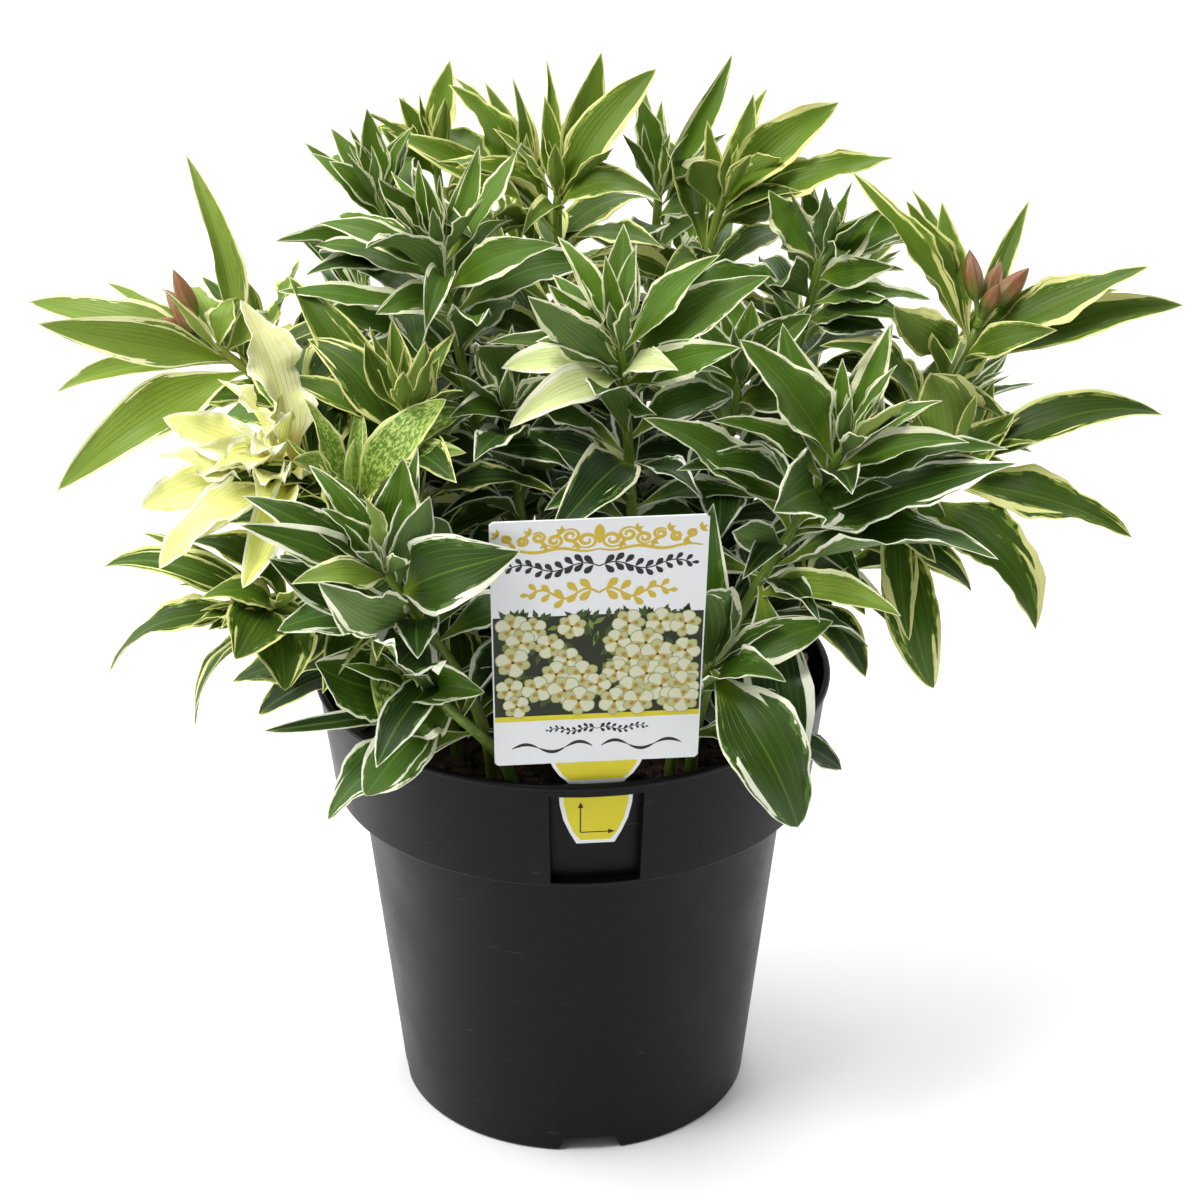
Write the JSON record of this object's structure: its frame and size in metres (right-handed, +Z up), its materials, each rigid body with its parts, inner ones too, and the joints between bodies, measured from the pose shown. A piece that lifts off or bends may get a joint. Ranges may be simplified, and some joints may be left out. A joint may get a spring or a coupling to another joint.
{
  "type": "potted peruvian lily",
  "caption": "Bushy variegated garden perennial with lance-shaped leaves on upright stems, in a round tapered nursery pot with a clip-in plant tag.",
  "frame": {"origin": "on the ground under the middle of the pot", "axes": "+Z up, -Y towards the front, where the tag is"},
  "size_m": [0.4347, 0.3019, 0.4095],
  "materials": {
    "pot_plastic": "black moulded plastic with a soft sheen and small scuffs",
    "potting_mix": "dark damp bark and peat mix",
    "tag_card": "printed white plastic card",
    "dry_stem": "dry brown stem",
    "bud": "reddish green flower buds",
    "leaf_white_margin": "green leaf with a white margin",
    "leaf_cream_margin": "green leaf with a cream margin",
    "leaf_cream": "leaf with hardly any green",
    "leaf_mottled": "pale green mottled leaf"
  },
  "bodies": {
    "root": {"pot": "pot_plastic", "potting_mix": "potting_mix", "plant_tag": "tag_card", "dry_stump": "dry_stem", "buds_left": "bud", "buds_right": "bud", "shoot_left_budding": "leaf_cream_margin", "shoot_cream": "leaf_cream", "shoot_mottled": "leaf_mottled", "shoot_upper_left": "leaf_white_margin", "shoot_left_back": "leaf_white_margin", "shoot_left_rear": "leaf_cream_margin", "shoot_top_left": "leaf_cream_margin", "shoot_top_centre": "leaf_cream_margin", "shoot_top_right": "leaf_white_margin", "shoot_upper_right": "leaf_cream_margin", "shoot_right_high": "leaf_white_margin", "shoot_right_budding": "leaf_cream_margin", "shoot_centre": "leaf_white_margin", "shoot_right_front": "leaf_white_margin", "shoot_left_front": "leaf_white_margin", "shoot_low_left": "leaf_cream_margin", "shoot_gold_small": "leaf_cream_margin", "shoot_right_low": "leaf_cream_margin", "shoot_low_front": "leaf_white_margin", "shoot_low_front_left": "leaf_white_margin", "shoot_inner_right": "leaf_white_margin", "shoot_inner_left": "leaf_cream_margin", "shoot_middle_left": "leaf_white_margin", "shoot_middle_right": "leaf_white_margin", "shoot_rear_left": "leaf_cream_margin", "shoot_rear_left_outer": "leaf_white_margin", "shoot_rear_centre": "leaf_cream_margin", "shoot_rear_right": "leaf_white_margin", "shoot_rear_right_outer": "leaf_cream_margin", "shoot_rear_right_low": "leaf_white_margin"}
  },
  "joints": []
}
